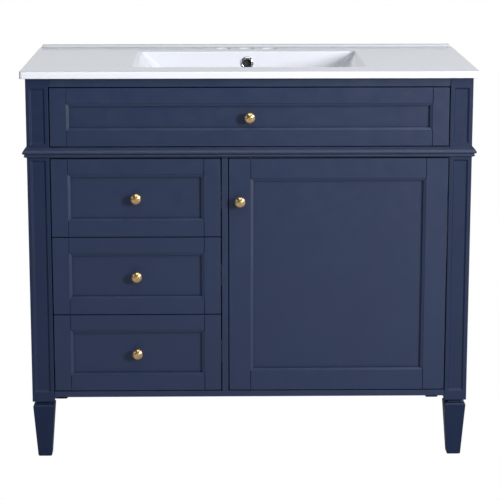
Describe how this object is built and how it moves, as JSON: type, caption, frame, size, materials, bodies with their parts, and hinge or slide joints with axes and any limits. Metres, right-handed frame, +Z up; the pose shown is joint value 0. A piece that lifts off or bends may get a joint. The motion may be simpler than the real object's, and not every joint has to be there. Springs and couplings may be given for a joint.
{
  "type": "bathroom vanity cabinet",
  "caption": "Painted face-frame vanity on tapered feet with a ceramic basin top, tip-out front, drawers, a hinged door and brass knobs.",
  "frame": {"origin": "middle of the bounding box, on the floor under the feet", "axes": "+Z up, +X along the width to the right as seen from the front, -Y out of the fronts"},
  "size_m": [0.914, 0.473, 0.806],
  "materials": {
    "paint": "satin navy paint over wood and fibreboard",
    "ceramic": "white gloss glaze",
    "brass": "satin",
    "chrome": "polished",
    "steel": "zinc plated",
    "board": "lacquered birch plywood",
    "plastic": "moulded"
  },
  "bodies": {
    "cabinet": {"countertop": "ceramic", "overflow_ring": "chrome", "post_front_left": "paint", "post_front_right": "paint", "post_back_left": "paint", "post_back_right": "paint", "foot_front_left": "paint", "foot_front_right": "paint", "foot_back_left": "paint", "foot_back_right": "paint", "side_panel_left": "paint", "side_panel_right": "paint", "top_rail": "paint", "waist_rail": "paint", "bottom_rail": "paint", "mullion": "paint", "moulding_front": "paint", "moulding_left": "paint", "moulding_right": "paint", "bottom_board": "board", "partition": "board", "back_rail_top": "board", "back_panel": "board", "tilt_pin_left": "steel", "tilt_pin_right": "steel", "slide_outer_1_left": "steel", "slide_outer_1_right": "steel", "slide_outer_2_left": "steel", "slide_outer_2_right": "steel", "slide_outer_3_left": "steel", "slide_outer_3_right": "steel", "hinge_plate_upper": "steel", "hinge_plate_lower": "steel"},
    "tilt_front": {"tilt_front_frame": "paint", "tilt_front_panel": "paint", "tilt_front_knob": "brass", "tilt_tray": "plastic"},
    "drawer_1": {"drawer_1_frame": "paint", "drawer_1_panel": "paint", "drawer_1_knob": "brass", "drawer_1_box": "board", "slide_inner_1_left": "steel", "slide_inner_1_right": "steel"},
    "drawer_2": {"drawer_2_frame": "paint", "drawer_2_panel": "paint", "drawer_2_knob": "brass", "drawer_2_box": "board", "slide_inner_2_left": "steel", "slide_inner_2_right": "steel"},
    "drawer_3": {"drawer_3_frame": "paint", "drawer_3_panel": "paint", "drawer_3_knob": "brass", "drawer_3_box": "board", "slide_inner_3_left": "steel", "slide_inner_3_right": "steel"},
    "door": {"door_frame": "paint", "door_panel": "paint", "door_knob": "brass", "hinge_cup_upper": "steel", "hinge_cup_lower": "steel"}
  },
  "joints": [
    {"name": "tilt_front_hinge", "type": "hinge", "parent": "cabinet", "child": "tilt_front", "pos_m": [0, -0.2075, 0.6534], "axis": [1, 0, 0], "range_deg": [0, 38]},
    {"name": "drawer_1_slide", "type": "slide", "parent": "cabinet", "child": "drawer_1", "axis": [0, -1, 0], "range_m": [0, 0.28]},
    {"name": "drawer_2_slide", "type": "slide", "parent": "cabinet", "child": "drawer_2", "axis": [0, -1, 0], "range_m": [0, 0.28]},
    {"name": "drawer_3_slide", "type": "slide", "parent": "cabinet", "child": "drawer_3", "axis": [0, -1, 0], "range_m": [0, 0.28]},
    {"name": "door_hinge", "type": "hinge", "parent": "cabinet", "child": "door", "pos_m": [0.39895, -0.2115, 0.3834], "axis": [0, 0, 1], "range_deg": [0, 105]}
  ]
}
